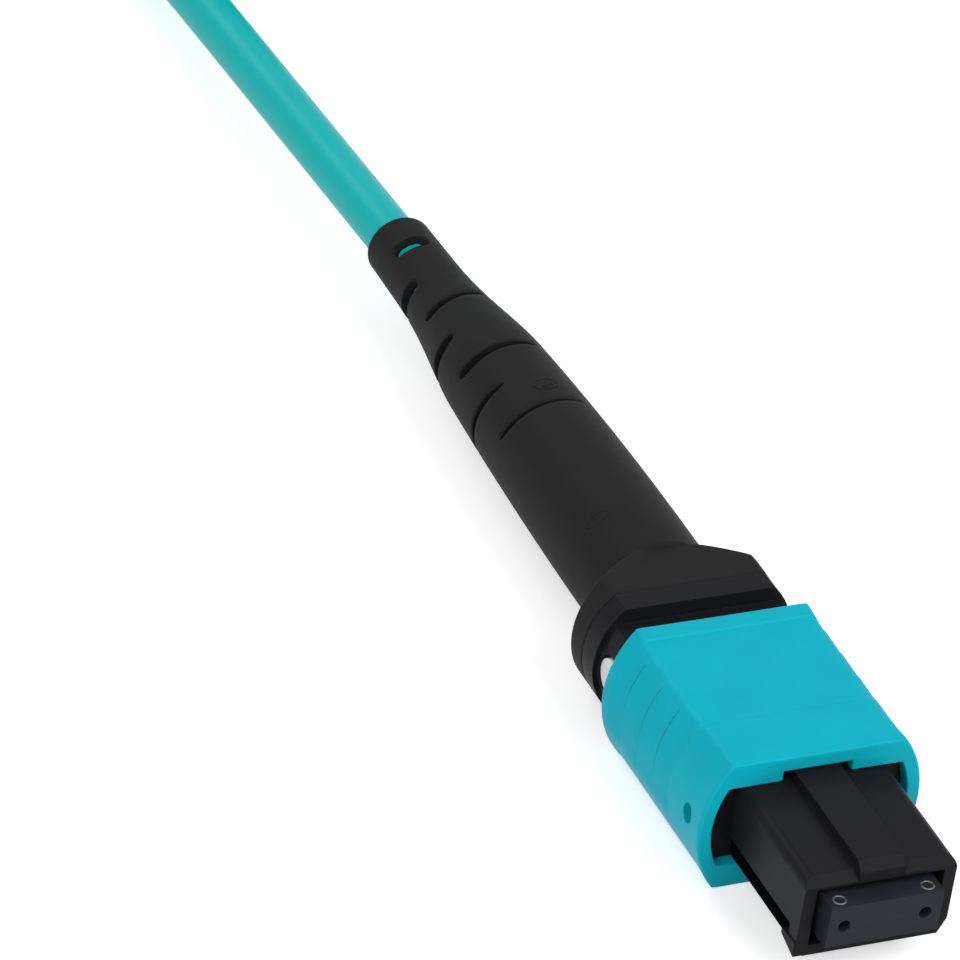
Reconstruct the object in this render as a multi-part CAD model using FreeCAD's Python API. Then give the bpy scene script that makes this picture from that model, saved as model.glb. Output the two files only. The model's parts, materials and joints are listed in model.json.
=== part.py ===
import FreeCAD, Part
import math
import os
from FreeCAD import Placement, Rotation, Vector

# Push-pull multi-fibre plug (12 fibres, socket version) on a round cord, lengths in mm.
# Each piece is drawn about the plug axis: y runs back from the ferrule face, z is up.

# Ferrule
FERRULE_W = 6.4
FERRULE_H = 2.5
FERRULE_BODY_L = 6.0
SHOULDER_STEP_W = 0.6
SHOULDER_STEP_H = 0.5
SHOULDER_L = 2.0
GUIDE_PITCH = 4.6
GUIDE_D = 0.7
WINDOW_W = 3.3
WINDOW_L = 2.2
WINDOW_Y = 2.6
WINDOW_DEPTH = 1.5
REAR_POCKET_L = 1.8
EPOXY_BELOW_TOP = 0.05

# Ribbon, its rubber boot, and the spacer that takes the place of the pin clamp
RIBBON_W = 3.05
RIBBON_H = 0.3
RIBBON_CLEAR = 0.04
RUBBER_W = 3.5
RUBBER_H = 1.3
RUBBER_L = 6.0
RUBBER_CLEAR = 0.06
SPACER_CLEAR = 0.05
SPACER_L = 2.2
SPACER_HOLE_W = 3.8
SPACER_HOLE_H = 1.5
PIN_RELIEF_W = 0.9
PIN_RELIEF_L = 1.2
RIBBON_SETBACK = 0.05
RIBBON_FLAT_TAIL = 3.8
BUNDLE_D = 1.3
TAPER_L = 9.0

# Springs
MAIN_SPRING_CLEAR_W = 0.91
MAIN_SPRING_CLEAR_H = 0.13
MAIN_WIRE_D = 0.42
MAIN_TURNS = 6
MAIN_STEPS = 12
SPRING_SEAT_GAP = 0.03
SIDE_SPRING_D = 1.24
SIDE_WIRE_D = 0.22
SIDE_TURNS = 6
SIDE_STEPS = 8

# Inner housing
NOSE_Y = 1.0
NOSE_WALL_SIDE = 0.65
NOSE_WALL_TOP = 0.75
NOSE_TOP_R = 0.6
NOSE_BOTTOM_CHAMFER = 0.45
BEVEL = 0.5
TUCK_TOP_Z = -0.9
TUCK_DEPTH = 0.22
TUCK_LEAN = 0.16
NOSE_RING_L = 0.9
KEY_W = 2.6
KEY_RISE = 0.52
KEY_L = 15.0
MOUTH_STEP_W = 0.48
MOUTH_STEP_H = 0.7
MOUTH_L = 2.0
THROAT_CLEAR_W = 0.16
THROAT_CLEAR_H = 0.15
SHOULDER_REST_GAP = 0.1
CAVITY_CLEAR = 0.15
MID_Y = 9.6
MID_WALL_SIDE = 1.8
MID_BOW = 0.6
SLEEVE_PULL_ROOM = 2.4
COLLAR_L = 1.3
COLLAR_STEP_W = 0.3
COLLAR_STEP_H = 0.9
COLLAR_BOW = 1.4
GROOVE_Y = 12.35
GROOVE_L = 5.95
GROOVE_H = 1.36
GROOVE_DEPTH = 1.3
LATCH_WINDOW_Y = 19.3
LATCH_WINDOW_L = 1.6
LATCH_WINDOW_H = 1.6
DOT_D = 2.0
DOT_T = 0.25
DOT_BEFORE_COLLAR = 1.25
DOT_RECESS_D = 2.3
DOT_RECESS_DEPTH = 0.32

# Coupling sleeve
SLEEVE_Y = 8.95
SLEEVE_L = 12.25
SLEEVE_WALL_TOP = 1.47
SLEEVE_WALL_SIDE = 0.7
SLEEVE_RIM_RISE = 0.1
SLEEVE_BORE_CLEAR = 0.1
SLEEVE_RUN_CLEAR = 0.08
SLEEVE_CHAMFER = 0.22
KEYWAY_W = 4.0
KEYWAY_CLEAR = 0.2
KEYWAY_L = 9.0
PAD_FRONT = 3.65
PAD_REAR = 1.05
PAD_DEPTH = 0.12
GRIP_COUNT = 3
GRIP_PITCH = 2.1
GRIP_FIRST = 4.15
GRIP_DEPTH = 0.19
GRIP_RAMP = 0.4
GRIP_CREST = 0.07
RIM_FALL_L = 1.3
SIDE_HOLE_D = 1.0
SIDE_HOLE_FROM_FRONT = 1.7
LUG_L = 0.9
LUG_H = 1.1
LUG_CLEAR = 0.1

# Rear body
REAR_CLEAR = 0.1
REAR_Y = 17.6
REAR_CHANNEL_W = 4.4
REAR_CHANNEL_H = 1.9
HOOK_Y = 19.45
HOOK_L = 1.3
HOOK_H = 1.3
HOOK_OUT = 0.8
ARM_SLIT = 0.25
ARM_SLIT_L = 4.6
REAR_PLATE_STEP_W = 2.1
REAR_PLATE_STEP_H = 1.7
REAR_PLATE_L = 1.2
POST_D = 4.0
POST_L = 7.5
POST_BORE_D = 2.6
POST_GROOVE_COUNT = 2
POST_GROOVE_L = 0.5
POST_GROOVE_DEPTH = 0.12

# Yarn and crimp
YARN_GAP = 0.02
YARN_T = 0.14
YARN_SETBACK = 0.3
CRIMP_T = 0.35
CRIMP_BEHIND_PLATE = 1.1
CRIMP_STEP_T = 0.5
CRIMP_TAIL_L = 4.5
CRIMP_TAIL_T = 0.38
CRIMP_TAIL_GAP = 0.02
CRIMP_END_CLEAR = 0.3

# Strain relief boot
BOOT_SEAM = 0.08
SKIRT_L = 1.35
BOOT_L = 38.32
BOOT_ROOT_D = 7.08
BOOT_WAIST_D = 6.14
BOOT_NECK_D = 4.0
CONE_SLOPE = 1.1
CONE_OVER_SKIRT = 0.1
ROOT_FROM_END = 24.9
WAIST_FROM_END = 14.8
NECK_FROM_END = 5.9
BOOT_BORE_CLEAR = 0.08
BOOT_MOUTH_D = 3.3
BOOT_MOUTH_L = 6.5
CRIMP_CLEAR = 0.15
PLATE_POCKET_CLEAR_W = 0.25
PLATE_POCKET_BOW = 0.95
SLOT_WIDTHS = [0.9, 0.72, 0.6, 0.72, 0.72, 0.4, 0.35]
SLOT_PITCH = 3.04
SLOT_FIRST = 2.75
SLOT_OPEN_COUNT = 2
SLOT_TOP_MIDDLE = 110.0
SLOT_LOW_MIDDLE = 290.0
SLOT_TOP_SPAN = 100.0
SLOT_LEFT_MIDDLE = 198.0
SLOT_LEFT_SPAN = 124.0
SLOT_RIGHT_MIDDLE = 332.0
SLOT_RIGHT_SPAN = 100.0
SLOT_FLOOR_T = 0.3
TIP_ROUND = 0.3

# Cord: the lead out of the first boot, a tied hank, and the lead into the second boot.
# Routes are (x, y, z) about the first plug's axis.
CORD_D = 2.9
CORD_BEHIND_POST = 1.4
LEAD_BEND = (0.0, 67.4, 0.0)
LEAD_END = (-1.9, 99.7, -1.5)
FAR_LEAD_ROUTE = [(1.0, 147.0, 0.0), (1.0, 162.0, 0.0)]
FAR_BOOT_END_Y = 155.5
ARC_SHARE = 0.45
HANK_Y = 98.0
HANK_RUN = 43.5
HANK_FOLD_W = 17.4
HANK_COLUMNS = 2
HANK_LEVELS = 4
HANK_FIRST_X = -2.3
HANK_SLACK = 0.2
HANK_STUB_L = 8.0
TIE_T = 0.45
TIE_W = 8.0
TIE_GAP = 0.05

# Sizes and places worked out from the ones above
SHOULDER_W = FERRULE_W + SHOULDER_STEP_W
SHOULDER_H = FERRULE_H + SHOULDER_STEP_H
SHOULDER_Y = FERRULE_BODY_L
FERRULE_L = FERRULE_BODY_L + SHOULDER_L
SPACER_W = SHOULDER_W - 2 * SPACER_CLEAR
SPACER_H = SHOULDER_H - 2 * SPACER_CLEAR
SPACER_END_Y = FERRULE_L + SPACER_L
THROAT_W = FERRULE_W + 2 * THROAT_CLEAR_W
THROAT_H = FERRULE_H + 2 * THROAT_CLEAR_H
MOUTH_W = THROAT_W + MOUTH_STEP_W
MOUTH_H = THROAT_H + MOUTH_STEP_H
CAVITY_W = SHOULDER_W + 2 * CAVITY_CLEAR
CAVITY_H = SHOULDER_H + 2 * CAVITY_CLEAR
MAIN_SPRING_W = CAVITY_W - 2 * MAIN_SPRING_CLEAR_W
MAIN_SPRING_H = CAVITY_H - 2 * MAIN_SPRING_CLEAR_H
NOSE_W = CAVITY_W + 2 * NOSE_WALL_SIDE
NOSE_H = CAVITY_H + 2 * NOSE_WALL_TOP
MID_W = CAVITY_W + 2 * MID_WALL_SIDE
MID_FLAT_W = MID_W - 2 * MID_BOW
MID_H = NOSE_H
SLEEVE_END_Y = SLEEVE_Y + SLEEVE_L
BORE_H = MID_H + 2 * SLEEVE_RUN_CLEAR
SLEEVE_BORE_W = MID_W + 2 * SLEEVE_BORE_CLEAR
SLEEVE_BORE_FLAT_W = MID_FLAT_W + 2 * SLEEVE_RUN_CLEAR
HALF_SLEEVE_H = BORE_H / 2 + SLEEVE_WALL_TOP
SLEEVE_R = SLEEVE_BORE_W / 2 + SLEEVE_WALL_SIDE
SLEEVE_RIM_R = SLEEVE_R + SLEEVE_RIM_RISE
COLLAR_Y = SLEEVE_END_Y + SLEEVE_PULL_ROOM
COLLAR_W = MID_W + 2 * COLLAR_STEP_W
COLLAR_H = MID_H + 2 * COLLAR_STEP_H
COLLAR_FLAT_W = COLLAR_W - 2 * COLLAR_BOW
BODY_REAR_Y = COLLAR_Y + COLLAR_L
DOT_Y = COLLAR_Y - DOT_BEFORE_COLLAR
REAR_PLATE_W = CAVITY_W - 2 * REAR_CLEAR + REAR_PLATE_STEP_W
REAR_PLATE_H = CAVITY_H + REAR_PLATE_STEP_H
PLATE_END_Y = BODY_REAR_Y + REAR_PLATE_L
PLATE_POCKET_W = REAR_PLATE_W + 2 * PLATE_POCKET_CLEAR_W
PLATE_POCKET_FLAT_W = PLATE_POCKET_W - 2 * PLATE_POCKET_BOW
POST_END_Y = PLATE_END_Y + POST_L
CRIMP_Y = PLATE_END_Y + CRIMP_BEHIND_PLATE
CRIMP_INNER_R = POST_D / 2 + 2 * YARN_GAP + YARN_T
CRIMP_OUTER_R = CRIMP_INNER_R + CRIMP_T
CRIMP_BODY_END_Y = POST_END_Y + CRIMP_STEP_T
CRIMP_END_Y = CRIMP_BODY_END_Y + CRIMP_TAIL_L
CORD_R = CORD_D / 2
CORD_START_Y = POST_END_Y + CORD_BEHIND_POST
LEAD_ROUTE = [(0.0, CORD_START_Y, 0.0), LEAD_BEND, LEAD_END]
BOOT_Y = BODY_REAR_Y + BOOT_SEAM
BOOT_END_Y = BOOT_Y + BOOT_L
BOOT_BORE_R = CORD_R + BOOT_BORE_CLEAR
BOOT_CAVITY_R = CRIMP_OUTER_R + CRIMP_CLEAR
FAR_PLUG_X = FAR_LEAD_ROUTE[-1][0]
FAR_PLUG_Y = FAR_BOOT_END_Y + BOOT_END_Y
HANK_HALF_W = HANK_FOLD_W / 2 + HANK_COLUMNS * CORD_R
HANK_HOLE_HALF_W = HANK_FOLD_W / 2 - HANK_COLUMNS * CORD_R
HANK_X = HANK_FIRST_X + HANK_HALF_W - CORD_R
HANK_STRAIGHT = HANK_RUN - HANK_FOLD_W
HANK_Z = -HALF_SLEEVE_H + TIE_T + TIE_GAP
HANK_H = HANK_LEVELS * CORD_D + HANK_SLACK

# Overshoot of the cutters, overlap of joined lumps, gap of seated pieces
REACH = 2 * COLLAR_W
CUT = 1.0
WELD = 0.2
FIT_GAP = 0.02


def box(x0, x1, y0, y1, z0, z1):
    return Part.makeBox(x1 - x0, y1 - y0, z1 - z0, Vector(x0, y0, z0))


def block(width, height, y0, y1):
    """A block centred on the axis."""
    return box(-width / 2, width / 2, y0, y1, -height / 2, height / 2)


def rod(radius, y0, y1, x=0.0, z=0.0):
    """A cylinder along y."""
    return Part.makeCylinder(radius, y1 - y0, Vector(x, y0, z), Vector(0, 1, 0))


def prism(edges, length):
    """Extrudes a closed outline of edges along y."""
    face = Part.Face(Part.Wire(edges))
    return face.extrude(Vector(0, length, 0))


def barrel(width, height, flat_width, y0, y1):
    """A bar with a flat top and bottom and bowed sides."""
    half_w = width / 2
    half_h = height / 2
    half_flat = flat_width / 2
    top_left = Vector(-half_flat, y0, half_h)
    top_right = Vector(half_flat, y0, half_h)
    low_left = Vector(-half_flat, y0, -half_h)
    low_right = Vector(half_flat, y0, -half_h)
    edges = [
        Part.LineSegment(top_left, top_right).toShape(),
        Part.Arc(top_right, Vector(half_w, y0, 0), low_right).toShape(),
        Part.LineSegment(low_right, low_left).toShape(),
        Part.Arc(low_left, Vector(-half_w, y0, 0), top_left).toShape(),
    ]
    return prism(edges, y1 - y0)


def polygon_prism(points, y0, y1):
    """Extrudes an (x, z) outline from y0 to y1."""
    corners = [Vector(x, y0, z) for x, z in points]
    return Part.Face(Part.makePolygon(corners + corners[:1])).extrude(Vector(0, y1 - y0, 0))


def side_prism(points, x0, x1):
    """Extrudes a (y, z) outline from x0 to x1."""
    corners = [Vector(x0, y, z) for y, z in points]
    return Part.Face(Part.makePolygon(corners + corners[:1])).extrude(Vector(x1 - x0, 0, 0))


def revolve(points):
    """Turns a closed (radius, y) outline about the axis."""
    corners = [Vector(r, y, 0) for r, y in points]
    face = Part.Face(Part.makePolygon(corners + corners[:1]))
    return face.revolve(Vector(0, 0, 0), Vector(0, 1, 0), 360)


def mirrored(shape):
    """The same shape on the other side of the axis."""
    return shape.mirror(Vector(0, 0, 0), Vector(1, 0, 0))


def both_sides(shape):
    return [shape, mirrored(shape)]


def mt_ferrule():
    """The moulded ferrule: guide holes, resin window and the pocket for its rubber."""
    body = block(FERRULE_W, FERRULE_H, 0, FERRULE_L)
    shoulder = block(SHOULDER_W, SHOULDER_H, SHOULDER_Y, FERRULE_L)
    ferrule = body.fuse(shoulder).removeSplitter()
    top = FERRULE_H / 2
    cuts = [rod(GUIDE_D / 2, -CUT, FERRULE_L + CUT, x) for x in (-GUIDE_PITCH / 2, GUIDE_PITCH / 2)]
    cuts.append(box(-WINDOW_W / 2, WINDOW_W / 2, WINDOW_Y, WINDOW_Y + WINDOW_L,
                    top - WINDOW_DEPTH, top + CUT))
    pocket_w = RUBBER_W + 2 * RUBBER_CLEAR
    pocket_h = RUBBER_H + 2 * RUBBER_CLEAR
    cuts.append(block(pocket_w, pocket_h, FERRULE_L - REAR_POCKET_L, FERRULE_L + CUT))
    slot_w = RIBBON_W + 2 * RIBBON_CLEAR
    slot_h = RIBBON_H + 2 * RIBBON_CLEAR
    cuts.append(block(slot_w, slot_h, WINDOW_Y + WINDOW_L - WELD, FERRULE_L))
    return ferrule.cut(cuts)


def window_epoxy():
    """The resin plug that fills the top window around the bare fibres."""
    top = FERRULE_H / 2
    floor_z = RIBBON_H / 2 + RIBBON_CLEAR
    half_w = WINDOW_W / 2 - FIT_GAP
    return box(-half_w, half_w, WINDOW_Y + FIT_GAP, WINDOW_Y + WINDOW_L - FIT_GAP,
               floor_z, top - EPOXY_BELOW_TOP)


def ferrule_rubber():
    y0 = FERRULE_L - REAR_POCKET_L + RUBBER_CLEAR
    body = block(RUBBER_W, RUBBER_H, y0, y0 + RUBBER_L)
    slot = block(RIBBON_W + 2 * RIBBON_CLEAR, RIBBON_H + 2 * RIBBON_CLEAR, y0 - CUT, y0 + RUBBER_L + CUT)
    return body.cut(slot)


def pin_spacer():
    y0 = FERRULE_L + FIT_GAP
    plate = block(SPACER_W, SPACER_H, y0, SPACER_END_Y)
    half_relief = PIN_RELIEF_W / 2
    middle = GUIDE_PITCH / 2
    relief = box(middle - half_relief, middle + half_relief, y0 - CUT, y0 + PIN_RELIEF_L,
                 -half_relief, half_relief)
    cuts = both_sides(relief)
    cuts.append(block(SPACER_HOLE_W, SPACER_HOLE_H, y0 - CUT, SPACER_END_Y + CUT))
    return plate.cut(cuts)


def ribbon():
    """The fibres from the ferrule window back: flat in the ferrule, round in the post."""
    y0 = WINDOW_Y + RIBBON_SETBACK
    flat_end = SPACER_END_Y + RIBBON_FLAT_TAIL
    flat = block(RIBBON_W, RIBBON_H, y0, flat_end)
    start = Part.makePolygon([Vector(x * RIBBON_W / 2, flat_end, z * RIBBON_H / 2)
                              for x, z in ((-1, -1), (1, -1), (1, 1), (-1, 1), (-1, -1))])
    r = BUNDLE_D / 2
    end = Part.makePolygon([Vector(x * r, flat_end + TAPER_L, z * r)
                            for x, z in ((-1, -1), (1, -1), (1, 1), (-1, 1), (-1, -1))])
    taper = Part.makeLoft([start, end], True, True)
    round_end = Part.makeCylinder(r, CORD_START_Y - flat_end - TAPER_L,
                                  Vector(0, flat_end + TAPER_L, 0), Vector(0, 1, 0))
    return flat.fuse([taper, round_end]).removeSplitter()


def coil_spring(path_point, turns, steps, wire_d):
    """A spring of square wire along short straight runs, steps of them to each turn."""
    points = [path_point(i / steps) for i in range(turns * steps + 1)]
    path = Part.makePolygon(points)
    start = points[0]
    ahead = points[1] - start
    across = Vector(start.x - path_point(0.5).x, 0, 0).normalize()
    up = ahead.cross(across).normalize()
    across = up.cross(ahead).normalize()
    h = wire_d / 2
    corners = [start + across * (a * h) + up * (b * h) for a, b in ((-1, -1), (1, -1), (1, 1), (-1, 1))]
    section = Part.makePolygon(corners + corners[:1])
    return path.makePipeShell([section], True, False, 1)


def main_spring():
    """Oval compression spring around the ribbon, between the spacer and the rear body."""
    y0 = SPACER_END_Y + SPRING_SEAT_GAP + MAIN_WIRE_D / 2
    y1 = REAR_Y - SPRING_SEAT_GAP - MAIN_WIRE_D / 2
    half_w = (MAIN_SPRING_W - MAIN_WIRE_D) / 2
    half_h = (MAIN_SPRING_H - MAIN_WIRE_D) / 2

    def point(turn):
        angle = 2 * math.pi * turn
        return Vector(half_w * math.cos(angle), y0 + (y1 - y0) * turn / MAIN_TURNS,
                      half_h * math.sin(angle))

    return coil_spring(point, MAIN_TURNS, MAIN_STEPS, MAIN_WIRE_D)


def side_spring():
    """One of the two small springs that hold the sleeve forward, on the +x side."""
    y0 = GROOVE_Y + LUG_CLEAR + LUG_L + SPRING_SEAT_GAP + SIDE_WIRE_D / 2
    y1 = GROOVE_Y + GROOVE_L - SPRING_SEAT_GAP - SIDE_WIRE_D / 2
    radius = (SIDE_SPRING_D - SIDE_WIRE_D) / 2
    middle_x = MID_W / 2 - SIDE_SPRING_D / 2

    def point(turn):
        angle = 2 * math.pi * turn
        return Vector(middle_x + radius * math.cos(angle), y0 + (y1 - y0) * turn / SIDE_TURNS,
                      radius * math.sin(angle))

    return coil_spring(point, SIDE_TURNS, SIDE_STEPS, SIDE_WIRE_D)


def nose():
    """The mating end: rounded top edges, chamfered lower ones, and a bevel above the mouth."""
    half_w = NOSE_W / 2
    half_h = NOSE_H / 2
    c = NOSE_BOTTOM_CHAMFER
    r = NOSE_TOP_R
    k = r * (1 - math.sqrt(0.5))
    y0 = NOSE_Y

    def v(x, z):
        return Vector(x, y0, z)

    edges = [
        Part.LineSegment(v(-half_w + r, half_h), v(half_w - r, half_h)).toShape(),
        Part.Arc(v(half_w - r, half_h), v(half_w - k, half_h - k), v(half_w, half_h - r)).toShape(),
        Part.LineSegment(v(half_w, half_h - r), v(half_w, -half_h + 2 * c)).toShape(),
        Part.LineSegment(v(half_w, -half_h + 2 * c), v(half_w - c, -half_h)).toShape(),
        Part.LineSegment(v(half_w - c, -half_h), v(-half_w + c, -half_h)).toShape(),
        Part.LineSegment(v(-half_w + c, -half_h), v(-half_w, -half_h + 2 * c)).toShape(),
        Part.LineSegment(v(-half_w, -half_h + 2 * c), v(-half_w, half_h - r)).toShape(),
        Part.Arc(v(-half_w, half_h - r), v(-half_w + k, half_h - k), v(-half_w + r, half_h)).toShape(),
    ]
    body = prism(edges, MID_Y + CUT - NOSE_Y)
    bevel = side_prism([(NOSE_Y - CUT, half_h - BEVEL - CUT), (NOSE_Y - CUT, half_h + CUT),
                        (NOSE_Y + BEVEL + CUT, half_h + CUT)], -REACH, REACH)
    tuck_y = NOSE_Y + NOSE_RING_L
    tuck = polygon_prism([(half_w - TUCK_DEPTH, TUCK_TOP_Z), (half_w + CUT, TUCK_TOP_Z),
                          (half_w + CUT, -half_h - CUT), (half_w - TUCK_DEPTH - TUCK_LEAN, -half_h - CUT)],
                         tuck_y, MID_Y)
    return body.cut([bevel] + both_sides(tuck))


def key():
    """The rib on top that orients the plug, with the same bevel at its front."""
    top = NOSE_H / 2 + KEY_RISE
    rib = box(-KEY_W / 2, KEY_W / 2, NOSE_Y, NOSE_Y + KEY_L, 0, top)
    bevel = side_prism([(NOSE_Y - CUT, top - BEVEL - CUT), (NOSE_Y - CUT, top + CUT),
                        (NOSE_Y + BEVEL + CUT, top + CUT)], -REACH, REACH)
    return rib.cut(bevel)


def collar_outline(y0, y1):
    """The rear outline that the housing collar shares with the boot skirt."""
    return barrel(COLLAR_W, COLLAR_H, COLLAR_FLAT_W, y0, y1)


def inner_housing():
    mid = barrel(MID_W, MID_H, MID_FLAT_W, MID_Y, COLLAR_Y + WELD)
    shell = nose().fuse([key(), mid, collar_outline(COLLAR_Y, BODY_REAR_Y)]).removeSplitter()
    throat_end = SHOULDER_Y - SHOULDER_REST_GAP
    cuts = [
        block(MOUTH_W, MOUTH_H, NOSE_Y - CUT, NOSE_Y + MOUTH_L),
        block(THROAT_W, THROAT_H, NOSE_Y, throat_end + WELD),
        block(CAVITY_W, CAVITY_H, throat_end, BODY_REAR_Y + CUT),
    ]
    side = MID_W / 2
    groove = box(side - GROOVE_DEPTH, side + CUT, GROOVE_Y, GROOVE_Y + GROOVE_L,
                 -GROOVE_H / 2, GROOVE_H / 2)
    window = box(CAVITY_W / 2 - WELD, side + CUT, LATCH_WINDOW_Y, LATCH_WINDOW_Y + LATCH_WINDOW_L,
                 -LATCH_WINDOW_H / 2, LATCH_WINDOW_H / 2)
    recess = Part.makeCylinder(DOT_RECESS_D / 2, DOT_RECESS_DEPTH + CUT,
                               Vector(-side - CUT, DOT_Y, 0), Vector(1, 0, 0))
    return shell.cut(cuts + both_sides(groove) + both_sides(window) + [recess])


def polarity_dot():
    x = -MID_W / 2 + DOT_RECESS_DEPTH - FIT_GAP
    return Part.makeCylinder(DOT_D / 2, DOT_T, Vector(x, DOT_Y, 0), Vector(-1, 0, 0))


def sleeve_profile(with_grips):
    """Radius of the sleeve's bowed sides along its length, with the saw-tooth finger grips."""
    front = SLEEVE_Y
    rear = SLEEVE_END_Y
    points = [(0, front), (SLEEVE_RIM_R - SLEEVE_CHAMFER, front), (SLEEVE_RIM_R, front + SLEEVE_CHAMFER)]
    if with_grips:
        points.append((SLEEVE_R, front + RIM_FALL_L))
        for i in range(GRIP_COUNT):
            crest = front + GRIP_FIRST + i * GRIP_PITCH
            points.append((SLEEVE_R + GRIP_CREST, crest))
            points.append((SLEEVE_R + GRIP_CREST - GRIP_DEPTH, crest + GRIP_RAMP))
        points.append((SLEEVE_R - GRIP_CREST, rear - RIM_FALL_L))
    points += [(SLEEVE_RIM_R, rear - SLEEVE_CHAMFER), (SLEEVE_RIM_R - SLEEVE_CHAMFER / 2, rear), (0, rear)]
    return points


def coupling_sleeve(with_grips):
    """The pull-back sleeve. Its two lugs ride in the housing's side grooves."""
    half_h = HALF_SLEEVE_H
    flats = box(-REACH, REACH, SLEEVE_Y - CUT, SLEEVE_END_Y + CUT, -half_h, half_h)
    body = revolve(sleeve_profile(with_grips)).common(flats)
    c = SLEEVE_CHAMFER
    top_bevel = side_prism([(SLEEVE_Y - CUT, half_h - c - CUT), (SLEEVE_Y - CUT, half_h + CUT),
                            (SLEEVE_Y + c + CUT, half_h + CUT)], -REACH, REACH)
    low_bevel = top_bevel.mirror(Vector(0, 0, 0), Vector(0, 0, 1))
    bore = barrel(SLEEVE_BORE_W, BORE_H, SLEEVE_BORE_FLAT_W, SLEEVE_Y - CUT, SLEEVE_END_Y + CUT)
    keyway = box(-KEYWAY_W / 2, KEYWAY_W / 2, SLEEVE_Y - CUT, SLEEVE_Y + KEYWAY_L,
                 0, NOSE_H / 2 + KEY_RISE + KEYWAY_CLEAR)
    pad = box(-REACH, REACH, SLEEVE_Y + PAD_FRONT, SLEEVE_END_Y - PAD_REAR,
              half_h - PAD_DEPTH, half_h + CUT)
    hole = Part.makeCylinder(SIDE_HOLE_D / 2, REACH, Vector(-REACH, SLEEVE_Y + SIDE_HOLE_FROM_FRONT, 0),
                             Vector(1, 0, 0))
    body = body.cut([top_bevel, low_bevel, pad, bore, keyway, hole])
    lug_y = GROOVE_Y + LUG_CLEAR
    lug = box(MID_W / 2 - GROOVE_DEPTH + LUG_CLEAR, SLEEVE_BORE_W / 2 + WELD, lug_y, lug_y + LUG_L,
              -LUG_H / 2, LUG_H / 2)
    return body.fuse(both_sides(lug)).removeSplitter()


def rear_body():
    """Pushes the main spring, snaps into the housing windows and carries the crimp post."""
    frame_w = CAVITY_W - 2 * REAR_CLEAR
    frame_h = CAVITY_H - 2 * REAR_CLEAR
    frame = block(frame_w, frame_h, REAR_Y, BODY_REAR_Y)
    plate = block(REAR_PLATE_W, REAR_PLATE_H, BODY_REAR_Y, PLATE_END_Y)
    plate = plate.common(rod(REAR_PLATE_W / 2, BODY_REAR_Y - CUT, PLATE_END_Y + CUT))
    post = rod(POST_D / 2, PLATE_END_Y, POST_END_Y)
    root = frame_w / 2 - WELD
    tip = frame_w / 2 + HOOK_OUT
    corners = [Vector(root, HOOK_Y, -HOOK_H / 2), Vector(root, HOOK_Y + HOOK_L, -HOOK_H / 2),
               Vector(tip, HOOK_Y + HOOK_L, -HOOK_H / 2), Vector(tip, HOOK_Y + HOOK_L / 2, -HOOK_H / 2)]
    hook = Part.Face(Part.makePolygon(corners + corners[:1])).extrude(Vector(0, 0, HOOK_H))
    body = frame.fuse([plate, post] + both_sides(hook)).removeSplitter()
    cuts = [block(REAR_CHANNEL_W, REAR_CHANNEL_H, REAR_Y - CUT, BODY_REAR_Y),
            rod(POST_BORE_D / 2, BODY_REAR_Y - CUT, POST_END_Y + CUT)]
    arm_end = REAR_Y + ARM_SLIT_L
    for z in (HOOK_H / 2, -HOOK_H / 2 - ARM_SLIT):
        slit = box(REAR_CHANNEL_W / 2 - WELD, REACH, REAR_Y - CUT, arm_end, z, z + ARM_SLIT)
        cuts += both_sides(slit)
    for i in range(POST_GROOVE_COUNT):
        y = PLATE_END_Y + POST_L * (i + 1) / (POST_GROOVE_COUNT + 1)
        ring = rod(POST_D / 2 + CUT, y, y + POST_GROOVE_L)
        cuts.append(ring.cut(rod(POST_D / 2 - POST_GROOVE_DEPTH, y - CUT, y + CUT)))
    return body.cut(cuts)


def aramid_yarn():
    """The strength yarn, laid back over the post and held by the crimp."""
    inner = POST_D / 2 + YARN_GAP
    outside = rod(inner + YARN_T, PLATE_END_Y + YARN_SETBACK, POST_END_Y)
    return outside.cut(rod(inner, PLATE_END_Y, POST_END_Y + CUT))


def crimp_ring():
    """Wide part on the post, narrow tail on the cord's jacket."""
    tail_in = CORD_R + CRIMP_TAIL_GAP
    tail_out = tail_in + CRIMP_TAIL_T
    wide = rod(CRIMP_OUTER_R, CRIMP_Y, CRIMP_BODY_END_Y)
    tail = rod(tail_out, CRIMP_BODY_END_Y, CRIMP_END_Y)
    hollow = rod(CRIMP_INNER_R, CRIMP_Y - CUT, POST_END_Y + FIT_GAP)
    return wide.fuse(tail).cut([hollow, rod(tail_in, CRIMP_Y, CRIMP_END_Y + CUT)])


def boot_spine(start_y):
    """Outside of the boot from the end of its skirt to its tip, as (radius, y)."""
    root_r = BOOT_ROOT_D / 2
    neck_r = BOOT_NECK_D / 2
    return [
        (root_r, start_y),
        (root_r, BOOT_END_Y - ROOT_FROM_END),
        (BOOT_WAIST_D / 2, BOOT_END_Y - WAIST_FROM_END),
        (neck_r, BOOT_END_Y - NECK_FROM_END),
        (neck_r, BOOT_END_Y - TIP_ROUND),
        (neck_r - TIP_ROUND / 2, BOOT_END_Y),
    ]


def boot_outside():
    """A skirt that carries on the collar's outline, a cone, and the tube that grips the cord."""
    skirt_end = BOOT_Y + SKIRT_L
    cone_r = COLLAR_W / 2 + CONE_OVER_SKIRT
    cone_end = skirt_end + (cone_r - BOOT_ROOT_D / 2) / CONE_SLOPE
    cone = revolve([(0, BOOT_Y), (cone_r, BOOT_Y), (cone_r, skirt_end),
                    (BOOT_ROOT_D / 2, cone_end), (0, cone_end)])
    skirt = collar_outline(BOOT_Y, cone_end + CUT).common(cone)
    taper = revolve([(0, cone_end)] + boot_spine(cone_end) + [(0, BOOT_END_Y)])
    return skirt.fuse(taper).removeSplitter()


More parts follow.
